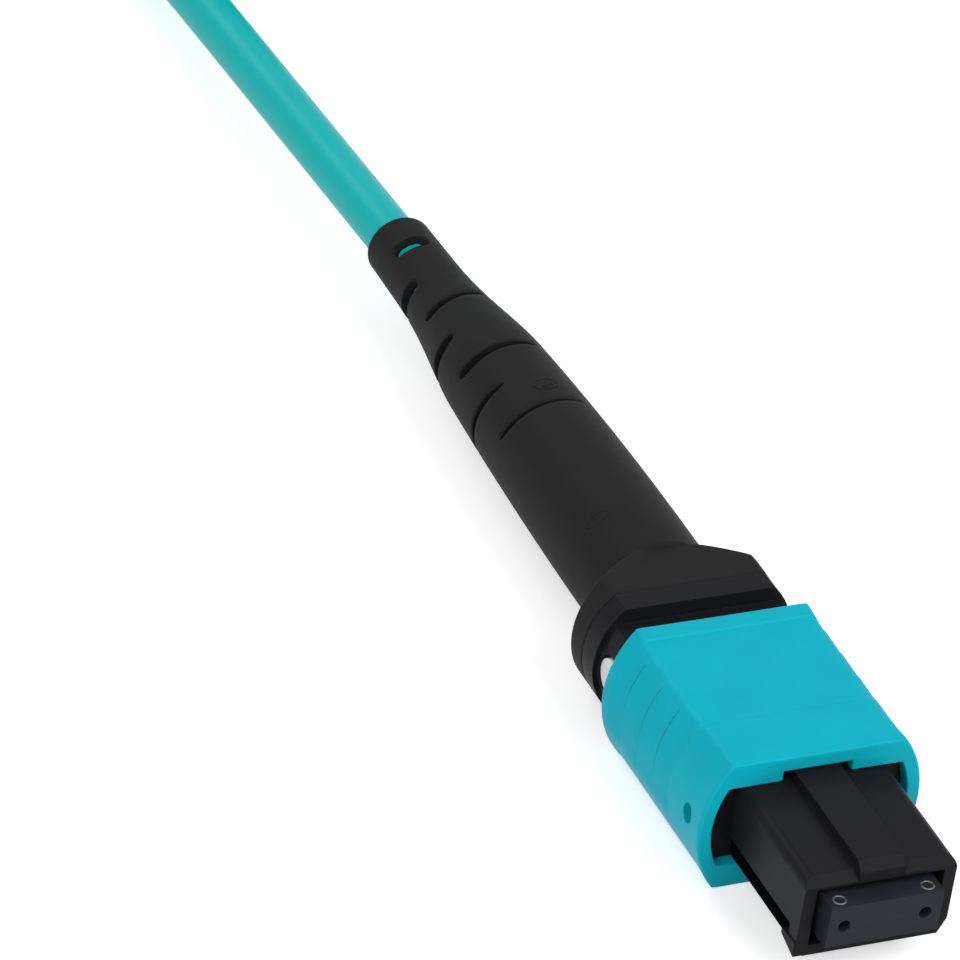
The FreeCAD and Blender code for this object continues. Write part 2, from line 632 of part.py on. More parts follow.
def slot_cutter(y, width, floor_r, middle, span):
    """Part of a ring around the axis, from floor_r outwards, span degrees long about its middle."""
    cutter = Part.makeCylinder(BOOT_ROOT_D, width, Vector(0, 0, 0), Vector(0, 0, 1), span)
    cutter = cutter.cut(Part.makeCylinder(floor_r, width))
    cutter.rotate(Vector(0, 0, 0), Vector(0, 0, 1), middle - span / 2)
    cutter.rotate(Vector(0, 0, 0), Vector(1, 0, 0), 90)
    return cutter.translated(Vector(0, y + width / 2, 0))


def flex_slots():
    """Cutters for the staggered slots: a pair on top and bottom, then a pair on the sides, and so on."""
    upright = [(SLOT_TOP_MIDDLE, SLOT_TOP_SPAN), (SLOT_LOW_MIDDLE, SLOT_TOP_SPAN)]
    sideways = [(SLOT_LEFT_MIDDLE, SLOT_LEFT_SPAN), (SLOT_RIGHT_MIDDLE, SLOT_RIGHT_SPAN)]
    cutters = []
    for i, width in enumerate(SLOT_WIDTHS):
        y = BOOT_END_Y - SLOT_FIRST - i * SLOT_PITCH
        floor_r = BOOT_BORE_R - WELD if i < SLOT_OPEN_COUNT else BOOT_BORE_R + SLOT_FLOOR_T
        for middle, span in sideways if i % 2 else upright:
            cutters.append(slot_cutter(y, width, floor_r, middle, span))
    return cutters


def strain_relief_boot(mechanism):
    """The boot, hollow over the crimp and slotted where it holds the spring mechanism."""
    if not mechanism:
        depth = FAR_LEAD_ROUTE[-1][1] - FAR_BOOT_END_Y
        return boot_outside().cut(rod(BOOT_MOUTH_D / 2, BOOT_END_Y - depth, BOOT_END_Y + CUT))
    mouth_y = BOOT_END_Y - BOOT_MOUTH_L
    room = REAR_CLEAR
    cuts = [
        rod(BOOT_BORE_R, BOOT_Y - CUT, mouth_y + CUT),
        rod(BOOT_MOUTH_D / 2, mouth_y, BOOT_END_Y + CUT),
        barrel(PLATE_POCKET_W, REAR_PLATE_H + 2 * room, PLATE_POCKET_FLAT_W, BOOT_Y - CUT, PLATE_END_Y + room),
        rod(BOOT_CAVITY_R, BOOT_Y, CRIMP_END_Y + CRIMP_END_CLEAR),
    ]
    return boot_outside().cut(cuts + flex_slots())


def corner_radii(points):
    """The bend radius at each inner point of a route."""
    radii = []
    for before, here, after in zip(points, points[1:], points[2:]):
        run_in = here - before
        run_out = after - here
        half_turn = run_in.getAngle(run_out) / 2
        radii.append(ARC_SHARE * min(run_in.Length, run_out.Length) / math.tan(half_turn))
    return radii


def cord_tube(points):
    """Straight runs joined by tangent arcs, each as large as its runs allow."""
    edges = []
    last = points[0]
    for before, here, after in zip(points, points[1:], points[2:]):
        run_in = here - before
        run_out = after - here
        reach = ARC_SHARE * min(run_in.Length, run_out.Length)
        enter = here - run_in.normalize() * reach
        leave = here + run_out.normalize() * reach
        chord = (enter + leave) * 0.5
        half_turn = run_in.getAngle(run_out) / 2
        radius = reach / math.tan(half_turn)
        sagitta = radius * (1 - math.cos(half_turn))
        middle = chord + (here - chord).normalize() * sagitta
        edges.append(Part.LineSegment(last, enter).toShape())
        edges.append(Part.Arc(enter, middle, leave).toShape())
        last = leave
    edges.append(Part.LineSegment(last, points[-1]).toShape())
    section = Part.Wire(Part.makeCircle(CORD_R, points[0], points[1] - points[0]))
    return Part.Wire(edges).makePipeShell([section], True, True)


def plug_pieces(mechanism):
    """The pieces of one plug about its own axis. The second plug has no spring mechanism drawn."""
    pieces = {
        "coupling_sleeve": coupling_sleeve(mechanism),
        "inner_housing": inner_housing(),
        "polarity_dot": polarity_dot(),
        "mt_ferrule": mt_ferrule(),
        "strain_relief_boot": strain_relief_boot(mechanism),
    }
    if mechanism:
        pieces.update({
            "window_epoxy": window_epoxy(),
            "ferrule_rubber": ferrule_rubber(),
            "pin_spacer": pin_spacer(),
            "fibre_ribbon": ribbon(),
            "main_spring": main_spring(),
            "sleeve_spring_right": side_spring(),
            "sleeve_spring_left": mirrored(side_spring()),
            "rear_body": rear_body(),
            "aramid_yarn": aramid_yarn(),
            "crimp_ring": crimp_ring(),
        })
    return pieces


def racetrack(half_w, z, height):
    """A bar round in plan at both ends, about the middle line of the hank."""
    near_y = HANK_Y + HANK_HALF_W
    far_y = near_y + HANK_STRAIGHT
    ends = [Part.makeCylinder(half_w, height, Vector(HANK_X, y, z)) for y in (near_y, far_y)]
    middle = box(HANK_X - half_w, HANK_X + half_w, near_y, far_y, z, z + height)
    return middle.fuse(ends).removeSplitter()


def cord_hank():
    """The outer shape of the folded turns, with a short stub towards each lead."""
    hole = racetrack(HANK_HOLE_HALF_W, HANK_Z - CUT, HANK_H + 2 * CUT)
    ring = racetrack(HANK_HALF_W, HANK_Z, HANK_H).cut(hole)
    into = LEAD[-1] - LEAD[-2]
    back_into = FAR_LEAD[0] - FAR_LEAD[1]
    stubs = [Part.makeCylinder(CORD_R, HANK_STUB_L, LEAD[-1], into),
             Part.makeCylinder(CORD_R, HANK_STUB_L, FAR_LEAD[0], back_into)]
    return ring.fuse(stubs).removeSplitter()


def cord_tie():
    """A strap around the middle of the hank."""
    middle_y = HANK_Y + HANK_HALF_W + HANK_STRAIGHT / 2
    y0 = middle_y - TIE_W / 2
    y1 = middle_y + TIE_W / 2
    half_w = HANK_HALF_W + TIE_GAP
    top = HANK_Z + HANK_H + TIE_GAP
    low = HANK_Z - TIE_GAP
    outside = box(HANK_X - half_w - TIE_T, HANK_X + half_w + TIE_T, y0, y1, low - TIE_T, top + TIE_T)
    inside = box(HANK_X - half_w, HANK_X + half_w, y0 - CUT, y1 + CUT, low, top)
    return outside.cut(inside)


# The first plug lies on its sleeve, with the origin under the middle of its length.
# The second plug lies in line beyond the hank, turned half round so that the cord enters its boot.
LEAD = [Vector(*point) for point in LEAD_ROUTE]
FAR_LEAD = [Vector(*point) for point in FAR_LEAD_ROUTE]


def near_place(shape):
    return shape.translated(Vector(0, -BOOT_END_Y / 2, HALF_SLEEVE_H))


def far_place(shape):
    turned = shape.copy()
    turned.rotate(Vector(0, 0, 0), Vector(0, 0, 1), 180)
    turned.translate(Vector(FAR_PLUG_X, FAR_PLUG_Y, 0))
    return near_place(turned)


def save(name, shape):
    solids = shape.Solids
    whole = solids[0] if len(solids) == 1 else shape
    whole.exportStep("parts/" + name + ".step")


def main():
    os.makedirs("parts", exist_ok=True)
    for name, shape in plug_pieces(True).items():
        save(name, near_place(shape))
    for name, shape in plug_pieces(False).items():
        save("far_" + name, far_place(shape))
    save("cord_lead", near_place(cord_tube(LEAD)))
    save("cord_hank", near_place(cord_hank()))
    save("cord_tie", near_place(cord_tie()))
    save("cord_far_lead", near_place(cord_tube(FAR_LEAD)))
    print("bend radius in the first lead", [round(r, 1) for r in corner_radii(LEAD)])


main()
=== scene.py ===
import json
import math

import bmesh
import bpy
from mathutils import Matrix, Vector

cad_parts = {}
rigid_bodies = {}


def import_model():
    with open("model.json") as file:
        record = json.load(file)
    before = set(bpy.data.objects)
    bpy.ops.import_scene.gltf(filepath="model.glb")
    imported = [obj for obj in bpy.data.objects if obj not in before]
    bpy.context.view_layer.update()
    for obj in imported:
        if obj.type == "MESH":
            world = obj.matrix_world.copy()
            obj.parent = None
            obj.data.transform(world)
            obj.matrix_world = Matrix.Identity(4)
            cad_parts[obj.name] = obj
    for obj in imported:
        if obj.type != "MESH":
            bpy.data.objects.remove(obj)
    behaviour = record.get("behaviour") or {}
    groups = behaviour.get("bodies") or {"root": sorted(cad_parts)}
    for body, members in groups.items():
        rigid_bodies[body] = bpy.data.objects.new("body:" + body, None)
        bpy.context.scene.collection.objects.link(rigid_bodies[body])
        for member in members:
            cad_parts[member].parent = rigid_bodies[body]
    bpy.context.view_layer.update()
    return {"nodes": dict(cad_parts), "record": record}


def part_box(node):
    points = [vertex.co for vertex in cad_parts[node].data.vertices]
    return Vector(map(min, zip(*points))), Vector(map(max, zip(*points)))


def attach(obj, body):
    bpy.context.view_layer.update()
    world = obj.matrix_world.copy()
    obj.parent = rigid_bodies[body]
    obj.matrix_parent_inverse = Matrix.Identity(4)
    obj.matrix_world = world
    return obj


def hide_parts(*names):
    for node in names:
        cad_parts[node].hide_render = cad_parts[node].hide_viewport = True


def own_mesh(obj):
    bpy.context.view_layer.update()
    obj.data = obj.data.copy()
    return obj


# The scene is in metres. A plug's own sizes and places are in millimetres about its axis: y runs
# back from the ferrule face, z is up, and angles go from +x towards +z.
MM = 0.001

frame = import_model()
nodes = frame["nodes"]


# Points closer than this, in metres, are one.
MERGE_DISTANCE = 1e-7
# Keeps a division by a sine of nought from failing.
TINY = 1e-6


def middle_of(low, high):
    return (low + high) / 2


ferrule_low, ferrule_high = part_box("mt_ferrule")
far_low, far_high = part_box("far_mt_ferrule")
FRONT = Vector((0, ferrule_low.y, middle_of(ferrule_low, ferrule_high).z))
FAR_FRONT = Vector((middle_of(far_low, far_high).x, far_high.y, middle_of(far_low, far_high).z))
NEAR_FRAME = Matrix.Translation(FRONT) @ Matrix.Scale(MM, 4)
FAR_FRAME = Matrix.Translation(FAR_FRONT) @ Matrix.Rotation(math.pi, 4, "Z") @ Matrix.Scale(MM, 4)


def plug_y(node, corner):
    """How far behind the first plug's ferrule face a node's front (0) or rear (1) lies, in mm."""
    return (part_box(node)[corner].y - FRONT.y) / MM


BOOT_START = plug_y("strain_relief_boot", 0)
BOOT_END = plug_y("strain_relief_boot", 1)
SLEEVE_FRONT = plug_y("coupling_sleeve", 0)
SLEEVE_REAR = plug_y("coupling_sleeve", 1)
NOSE_FRONT = plug_y("inner_housing", 0)
# Each plug: the end of its pieces' names, the start of its nodes' and bodies' names, and its place.
PLUGS = [("near", "", NEAR_FRAME), ("far", "far_", FAR_FRAME)]


# ---------------------------------------------------------------- materials

MOTTLE_SCALE = 450.0
GLOSS_SCALE = 900.0
GLOSS_SPREAD = 0.05
GRAIN_HEIGHT = 0.00002
DRAWN_SCALE = 5000.0
DRAWN_SPREAD = 0.08
THREAD_HEIGHT = 0.00008


def new_material(name):
    material = bpy.data.materials.new(name)
    material.use_nodes = True
    tree = material.node_tree
    shader = tree.nodes["Principled BSDF"]
    return material, tree, shader


def add_noise(tree, coords, scale, detail=3.0, roughness=0.5):
    noise = tree.nodes.new("ShaderNodeTexNoise")
    noise.inputs["Scale"].default_value = scale
    noise.inputs["Detail"].default_value = detail
    noise.inputs["Roughness"].default_value = roughness
    tree.links.new(coords, noise.inputs["Vector"])
    return noise.outputs["Fac"]


def add_range(tree, value, low, high):
    """Maps 0..1 to low..high."""
    node = tree.nodes.new("ShaderNodeMapRange")
    node.inputs["To Min"].default_value = low
    node.inputs["To Max"].default_value = high
    tree.links.new(value, node.inputs["Value"])
    return node.outputs["Result"]


def add_mix(tree, factor, first, second):
    """Mixes two colours."""
    node = tree.nodes.new("ShaderNodeMix")
    node.data_type = "RGBA"
    node.inputs["A"].default_value = (*first, 1)
    node.inputs["B"].default_value = (*second, 1)
    tree.links.new(factor, node.inputs["Factor"])
    return node.outputs["Result"]


def add_bump(tree, shader, height, strength, distance):
    relief = tree.nodes.new("ShaderNodeBump")
    relief.inputs["Strength"].default_value = strength
    relief.inputs["Distance"].default_value = distance
    tree.links.new(height, relief.inputs["Height"])
    tree.links.new(relief.outputs["Normal"], shader.inputs["Normal"])
    return relief


def object_coords(tree):
    return tree.nodes.new("ShaderNodeTexCoord").outputs["Object"]


def scaled(colour, factor):
    return [min(1, c * factor) for c in colour]


def moulded(name, colour, rough, grain=9000.0, bump=0.1, edge=0.00006, spread=0.06, specular=0.5):
    """Moulded plastic: slight mottling, uneven gloss, fine grain, and softly rounded edges."""
    material, tree, shader = new_material(name)
    coords = object_coords(tree)
    mottle = add_noise(tree, coords, MOTTLE_SCALE)
    shade = add_mix(tree, mottle, scaled(colour, 1 - spread), scaled(colour, 1 + spread))
    tree.links.new(shade, shader.inputs["Base Color"])
    gloss = add_noise(tree, coords, GLOSS_SCALE, 4.0)
    uneven = add_range(tree, gloss, rough - GLOSS_SPREAD, rough + GLOSS_SPREAD)
    tree.links.new(uneven, shader.inputs["Roughness"])
    relief = add_bump(tree, shader, add_noise(tree, coords, grain, 2.0), bump, GRAIN_HEIGHT)
    if edge:
        rounder = tree.nodes.new("ShaderNodeBevel")
        rounder.samples = 6
        rounder.inputs["Radius"].default_value = edge
        tree.links.new(rounder.outputs["Normal"], relief.inputs["Normal"])
    shader.inputs["Specular IOR Level"].default_value = specular
    return material


def drawn_metal(name, colour, rough):
    """Drawn or pressed metal, with faint marks that change its shade and gloss."""
    material, tree, shader = new_material(name)
    marks = add_noise(tree, object_coords(tree), DRAWN_SCALE, 4.0)
    tree.links.new(add_mix(tree, marks, scaled(colour, 0.85), colour), shader.inputs["Base Color"])
    uneven = add_range(tree, marks, rough - DRAWN_SPREAD, rough + DRAWN_SPREAD)
    tree.links.new(uneven, shader.inputs["Roughness"])
    shader.inputs["Metallic"].default_value = 1.0
    return material


def woven(name, colour, threads):
    """Strap cloth: crossing ribs with a little fuzz. threads is how many there are to the metre."""
    material, tree, shader = new_material(name)
    coords = object_coords(tree)
    bands = []
    for axis in ("X", "Y"):
        wave = tree.nodes.new("ShaderNodeTexWave")
        wave.wave_type = "BANDS"
        wave.bands_direction = axis
        # A wave texture has 10 / pi bands to the metre at a scale of one.
        wave.inputs["Scale"].default_value = threads * math.pi / 10
        wave.inputs["Distortion"].default_value = 0.6
        tree.links.new(coords, wave.inputs["Vector"])
        bands.append(wave.outputs["Fac"])
    cross = tree.nodes.new("ShaderNodeMath")
    cross.operation = "MAXIMUM"
    tree.links.new(bands[0], cross.inputs[0])
    tree.links.new(bands[1], cross.inputs[1])
    shade = add_mix(tree, cross.outputs[0], scaled(colour, 0.6), scaled(colour, 1.5))
    tree.links.new(shade, shader.inputs["Base Color"])
    add_bump(tree, shader, cross.outputs[0], 0.6, THREAD_HEIGHT)
    shader.inputs["Roughness"].default_value = 0.85
    shader.inputs["Sheen Weight"].default_value = 0.2
    return material


MATERIALS = {
    "sleeve_aqua": moulded("sleeve_aqua", (0.004, 0.45, 0.565), 0.42, grain=14000.0, bump=0.12,
                           specular=0.06),
    "housing_black": moulded("housing_black", (0.012, 0.012, 0.0135), 0.40, grain=12000.0, specular=0.05),
    # The undercuts' faces: a darker black than the housing's own, which is painted shade for the shade in
    # the undercut; matt and without gloss.
    "recess_painted_shade": moulded("recess_painted_shade", (0.003, 0.003, 0.0035), 0.9, edge=0.0, specular=0.0),
    "boot_black": moulded("boot_black", (0.015, 0.015, 0.0155), 0.6, grain=9000.0, bump=0.25, edge=0.0,
                          specular=0.07),
    "ferrule_black": moulded("ferrule_black", (0.021, 0.022, 0.030), 0.38, grain=16000.0, bump=0.06,
                             edge=0.00003, specular=0.08),
    # Ring marks: the ferrule's black made a lighter grey, which is a painted glint, on a very glossy
    # finish.
    "ring_painted_glint": moulded("ring_painted_glint", (0.10, 0.10, 0.104), 0.25, bump=0.0, edge=0.0, specular=0.9),
    "dot_white": moulded("dot_white", (0.80, 0.80, 0.79), 0.5),
    "epoxy_dark": moulded("epoxy_dark", (0.03, 0.028, 0.024), 0.15, edge=0.0),
    "boot_rubber": moulded("boot_rubber", (0.02, 0.02, 0.02), 0.6),
    "ribbon_aqua": moulded("ribbon_aqua", (0.03, 0.45, 0.40), 0.25, edge=0.0),
    "spring_steel": drawn_metal("spring_steel", (0.55, 0.55, 0.56), 0.3),
    "yarn_yellow": moulded("yarn_yellow", (0.70, 0.50, 0.12), 0.7, grain=20000.0, bump=0.6, edge=0.0),
    "crimp_metal": drawn_metal("crimp_metal", (0.72, 0.72, 0.73), 0.28),
    "jacket_aqua": moulded("jacket_aqua", (0.006, 0.475, 0.475), 0.36, grain=6000.0, bump=0.05, edge=0.0,
                           specular=0.11),
    "tie_black": woven("tie_black", (0.02, 0.02, 0.02), 2500.0),
    "fibre_glass": moulded("fibre_glass", (0.022, 0.023, 0.027), 0.25, bump=0.0, edge=0.0, specular=0.1),
}


def set_material(piece, name):
    piece.data.materials.clear()
    piece.data.materials.append(MATERIALS[name])


for part in frame["record"]["subparts"]:
    set_material(nodes[part["node"]], part["material_slot"])


def add_piece(name, data, body, slot, material=None):
    """Puts a mesh or curve in the scene, riding on a body."""
    piece = bpy.data.objects.new(name, data)
    bpy.context.scene.collection.objects.link(piece)
    set_material(piece, material or slot)
    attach(piece, body)
    return piece


def node_mesh(node):
    """A copy of a node's mesh, where the node stands."""
    data = nodes[node].data.copy()
    data.transform(nodes[node].matrix_world)
    return data


def merge_points(mesh, outwards=False):
    """Joins points that lie on one another, and can turn all faces outwards."""
    shape = bmesh.new()
    shape.from_mesh(mesh)
    bmesh.ops.remove_doubles(shape, verts=shape.verts, dist=MERGE_DISTANCE)
    if outwards:
        bmesh.ops.recalc_face_normals(shape, faces=shape.faces)
    shape.to_mesh(mesh)
    shape.free()


def finish_mesh(name, points, faces, place, crease=50):
    """A mesh that place moves into the scene, smooth but for edges sharper than the crease angle."""
    mesh = bpy.data.meshes.new(name)
    mesh.from_pydata(points, [], faces)
    mesh.transform(place)
    merge_points(mesh, outwards=True)
    for polygon in mesh.polygons:
        polygon.use_smooth = True
    mesh.set_sharp_from_angle(angle=math.radians(crease))
    return mesh


def around_axis(radius, angle, y, aside=(0.0, 0.0)):
    """A point at a radius and an angle about a plug's axis, moved aside in x and z."""
    return (radius * math.cos(angle) + aside[0], y, radius * math.sin(angle) + aside[1])


def full_turn(count, offset=0.0):
    """Equally spaced angles all the way round, the first of them offset steps on."""
    return [2 * math.pi * (i + offset) / count for i in range(count)]


def band_faces(first, second, count):
    """Faces between two rings of count points, by the number of each ring's first point."""
    faces = []
    for i in range(count):
        after = (i + 1) % count
        faces.append((first + i, first + after, second + after, second + i))
    return faces


def stacked_faces(rings, count, start=0):
    """Faces between rings of count points each that follow one another from point start."""
    faces = []
    for ring in range(rings - 1):
        faces += band_faces(start + ring * count, start + (ring + 1) * count, count)
    return faces


def closed_faces(rings, count, start=0):
    """The same, with the last ring joined to the first."""
    return stacked_faces(rings, count, start) + band_faces(start + (rings - 1) * count, start, count)


def rod_mesh(name, section, ends, along, place):
    """A rod with flat ends: its section as pairs, its two ends, and which axis it lies along."""
    points = []
    for end in ends:
        for pair in section:
            point = list(pair)
            point.insert(along, end)
            points.append(point)
    count = len(section)
    faces = [list(range(count)), list(range(count, 2 * count))] + band_faces(0, count, count)
    return finish_mesh(name, points, faces, place)


# ---------------------------------------------------------------- cord

# Places on the cord are in metres from the first plug's ferrule face.
CORD_D = 0.0029
LEAD_ROUTE = [(0.0, 0.035, 0.0), (0.0, 0.0575, 0.0), (-0.0004, 0.071, -0.00041),
              (-0.00101, 0.091, -0.00101), (-0.0013, 0.0985, -0.0013)]
FAR_LEAD_ROUTE = [(0.001, 0.147, 0.0), (0.001, 0.162, 0.0)]
# The hank has two columns of turns, one inside the other, on levels a cord's diameter apart.
HANK_INNER_R = 2.5 * CORD_D
HANK_OUTER_R = HANK_INNER_R + CORD_D
HANK_HALF_STRAIGHT = 0.01305
HANK_START_Y = 0.105
HANK_LEAVE_L = 0.004
CAP_POINTS = 6
FIRST_LEVEL_Z = -0.0019


def eased(share):
    """Goes from 0 to 1 with a gentle start and end."""
    share = min(1.0, max(0.0, share))
    return share * share * (3 - 2 * share)


def hank_points():
    """Control points of the folded turns: in at the outer column's foot, up the inner column, and
    down the outer one, to leave just above the place where the cord came in."""
    low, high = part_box("cord_tie")
    middle_y = middle_of(low, high).y - FRONT.y
    centre_x = middle_of(low, high).x
    inner = HANK_INNER_R
    outer = HANK_OUTER_R
    half_straight = HANK_HALF_STRAIGHT
    step = math.pi / CAP_POINTS
    # Control points on a round end stand out by this much, so that the curve keeps its radius.
    stretch = 1 / math.cos(step / 2)
    points = [(centre_x - outer, HANK_START_Y, FIRST_LEVEL_Z)]

    def height(level):
        return FIRST_LEVEL_Z + level * CORD_D

    def straight(side, radius, z, share, way):
        points.append((centre_x + side * radius, middle_y + way * half_straight * (2 * share - 1), z))

    # Each turn by its column and level on the way out, and on the way back.
    turns = [((outer, 0), (outer, 0)), ((inner, 0), (inner, 0)), ((inner, 1), (inner, 1)),
             ((inner, 2), (inner, 2)), ((inner, 3), (inner, 3)), ((outer, 3), (outer, 2)),
             ((outer, 2), (outer, 1)), ((outer, 1), None)]
    for number, (out, back) in enumerate(turns):
        for share in (0.25, 0.75):
            straight(-1, out[0], height(out[1]), share, 1)
        if back is None:
            break
        for i in range(CAP_POINTS):
            angle = (i + 0.5) * step
            z = height(out[1] + (back[1] - out[1]) * eased((angle / math.pi - 0.25) / 0.6))
            points.append((centre_x - out[0] * stretch * math.cos(angle),
                           middle_y + half_straight + out[0] * stretch * math.sin(angle), z))
        after = turns[number + 1][0]
        goes_out = max(0.0, after[0] - back[0])
        rises = max(0, after[1] - back[1])
        for share in (0.1, 0.3, 0.5, 0.7, 0.9):
            radius = back[0] + goes_out * eased((share - 0.1) / 0.4)
            straight(1, radius, height(back[1] + rises * eased((share - 0.5) / 0.4)), share, -1)
        start = back[0] + goes_out
        for i in range(CAP_POINTS):
            angle = (i + 0.5) * step
            radius = (start + (after[0] - start) * eased(angle / math.pi)) * stretch
            points.append((centre_x + radius * math.cos(angle),
                           middle_y - half_straight - radius * math.sin(angle), height(after[1])))
    points.append((centre_x - outer, middle_y + half_straight + HANK_LEAVE_L, height(1)))
    return points


def make_cord():
    points = [Vector(p) for p in LEAD_ROUTE + hank_points() + FAR_LEAD_ROUTE]
    curve = bpy.data.curves.new("fibre_cord", "CURVE")
    curve.dimensions = "3D"
    spline = curve.splines.new("NURBS")
    spline.points.add(len(points) - 1)
    for point, at in zip(spline.points, points):
        point.co = (*(FRONT + at), 1)
    spline.order_u = 3
    spline.use_endpoint_u = True
    spline.resolution_u = 8
    curve.bevel_depth = CORD_D / 2
    curve.bevel_resolution = 8
    curve.use_fill_caps = True
    cord = add_piece("fibre_cord", curve, "plug", "jacket_aqua")
    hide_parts("cord_lead", "cord_hank", "cord_far_lead")
    return cord


# ---------------------------------------------------------------- strain relief boots

# Outside of the boot behind its skirt: a tube that tapers faster and faster from TAPER_START on,
# then a smooth step down to the neck that grips the cord. Places are distances from the ferrule face.
ROOT_D = 7.08
TAPER_START = 31.0
STEP_START = 49.3
STEP_START_D = 6.04
NECK_START = 59.3
NECK_D = 4.0
TIP_D = 3.83
# Slots from the tip: half width, kind, and whether the cord shows at the bottom.
SLOTS = [(0.46, "short", True), (0.46, "side", True), (0.30, "top", False), (0.36, "side", False),
         (0.36, "top", False), (0.20, "long", False), (0.18, "top", False)]
# The two slots of each kind: middle and half of the span, in degrees.
SLOT_ARCS = {"short": [(110, 33), (290, 33)], "top": [(110, 50), (290, 50)],
             "side": [(198, 62), (332, 50)], "long": [(192, 68), (332, 48)]}
# Slots on top thin out by this share from one end to their middle, and as much again to the other.
SLOT_THINNING = 0.3
SLOT_MIN_HALF_W = 0.03
SLOT_FIRST = 2.75
SLOT_PITCH = 3.04
SLOT_DEPTH = 0.75
SLOT_FLOOR_R = 1.75
# Under the cord's surface, so that the cord closes the open slots.
OPEN_FLOOR_R = 1.25
# A slot's edge is rounded off over LIP_L, down to LIP_SINK, where its leaning wall starts. The wall's
# foot lies in by WALL_LEAN.
LIP_L = 0.07
LIP_SINK = 0.05
WALL_LEAN = 0.04
# Degrees from the end of a slot over which its floor rises to the surface.
SLOT_RUNOUT = 4
# Rows of the mesh. The rows of a slot have SLOT_BAND to either side of its middle to themselves,
# and the outermost of them lie SLOT_OUTER_ROW and SLOT_INNER_ROW away.
SLOT_BAND = 0.75
SLOT_OUTER_ROW = 0.7
SLOT_INNER_ROW = 0.45
# Steps across a slot, counted from its middle: the brink of its wall, and the outermost row.
BRINK_STEP = 3
LAST_STEP = 6
ROW_GAP = 0.45
FRONT_ROWS = (0.0, 0.02, 0.045, 0.08, 0.3, 0.6, 0.9, 1.2)
TIP_ROWS = (0.45, 0.32, 0.24, 0.17, 0.11, 0.06, 0.025, 0.0)
CONE_ROW_GAP = 0.08
CONE_ROWS_BEFORE = 0.12
CONE_ROWS_AFTER = 2.6
BOOT_COLUMNS = 288
SKIRT_END = 26.33
SKIRT_EDGE = 0.06
CONE_OVER_SKIRT = 0.1
CONE_SLOPE = 1.1
# Where the skirt has turned into the tube, and how far ahead of there that starts.
CONE_END = 28.42
CONE_BLEND_L = 0.12
COLLAR_HALF_W = 5.75
COLLAR_HALF_H = 3.3
COLLAR_FLAT = 4.35
COLLAR_ROUND = 0.12
CONE_ROUND = 0.10
TIP_ROUND = 0.32
BOOT_MOUTH_R = 1.62
# The mouth behind the rim: distance from the boot's end, and how much wider than the mouth it is.
MOUTH_RINGS = [(0.02, 0.12), (0.08, 0.03), (0.3, 0.0), (1.5, 0.0)]
# The hole that the boot's front face leaves, behind the housing.
FRONT_HOLE_R = 2.8
# Moulded rings on the near boot: place along it and around it, half sizes, and the bead's radius.
MOULD_MARKS = [(43.95, math.radians(89), 0.50, 0.72, 0.05),
               (43.75, math.radians(88), 0.10, 0.32, 0.05),
               (32.15, math.radians(127), 0.34, 0.72, 0.04)]
BEAD_HEIGHT = 0.7
# How far the cord pulls the tip of the near boot aside, in x and z.
TIP_PULL = (-0.17, -0.19)
PULL_FROM = 36.0
NOT_PULLED = (0.0, 0.0)


def profile_radius(y):
    """Radius of the boot behind its skirt."""
    taper = max(0.0, (y - TAPER_START) / (STEP_START - TAPER_START))
    tube = ROOT_D - (ROOT_D - STEP_START_D) * taper ** 2
    neck = NECK_D + (TIP_D - NECK_D) * (y - NECK_START) / (BOOT_END - NECK_START)
    diameter = tube + (neck - tube) * eased((y - STEP_START) / (NECK_START - STEP_START))
    return diameter / 2


def bowed_outline(angle, half_w, half_h, flat, inset=0.0):
    """Radii at an angle to the bowed side and to the flat top or bottom of an outline."""
    rise = half_w - flat
    bow_r = (rise * rise + half_h ** 2) / (2 * rise)
    centre = half_w - inset - bow_r
    c, s = abs(math.cos(angle)), abs(math.sin(angle))
    side = centre * c + math.sqrt(max(0.0, bow_r ** 2 - (centre * s) ** 2))
    return side, (half_h - inset) / max(s, TINY)


def soft_min(a, b, k):
    """The lesser of two sizes, rounded over where they are within k of one another."""
    h = max(0.0, min(1.0, 0.5 + (b - a) / (2 * k)))
    return b * (1 - h) + a * h - k * h * (1 - h)


def rounded_end(left, radius):
    """How much an end lies in, rounded to a radius, where left is the distance to it."""
    if left >= radius:
        return 0.0
    return radius - math.sqrt(max(0.0, radius ** 2 - (radius - left) ** 2))


def body_radius(y, angle):
    """Outside of the boot without its slots."""
    tube = profile_radius(y)
    radius = tube
    if y < CONE_END:
        inset = SKIRT_EDGE * (1 - eased((y - BOOT_START) / SKIRT_EDGE))
        side, flat = bowed_outline(angle, COLLAR_HALF_W, COLLAR_HALF_H, COLLAR_FLAT, inset)
        cone = COLLAR_HALF_W + CONE_OVER_SKIRT - (y - SKIRT_END) * CONE_SLOPE
        radius = soft_min(soft_min(side, flat, COLLAR_ROUND), max(cone, tube), CONE_ROUND)
        radius += (tube - radius) * eased((y - CONE_END + CONE_BLEND_L) / CONE_BLEND_L)
    return radius - rounded_end(BOOT_END - y, TIP_ROUND)


def boot_rows():
    """Rows of the boot's mesh as (y, slot number or None, step across the slot)."""
    rows = [(BOOT_START + share, None, 0) for share in FRONT_ROWS]
    y = SKIRT_END - CONE_ROWS_BEFORE
    while y < SKIRT_END + CONE_ROWS_AFTER:
        rows.append((y, None, 0))
        y += CONE_ROW_GAP
    bands = [(BOOT_END - SLOT_FIRST - i * SLOT_PITCH, i) for i in range(len(SLOTS))]
    bands.reverse()
    for centre, number in bands + [(BOOT_END - TIP_ROWS[0] + SLOT_BAND, None)]:
        gap = centre - SLOT_BAND - y
        count = max(1, round(gap / ROW_GAP))
        for i in range(count):
            rows.append((y + gap * i / count, None, 0))
        if number is None:
            break
        for across in range(-LAST_STEP, LAST_STEP + 1):
            rows.append((centre, number, across))
        y = centre + SLOT_BAND
    return rows + [(BOOT_END - left, None, 0) for left in TIP_ROWS]


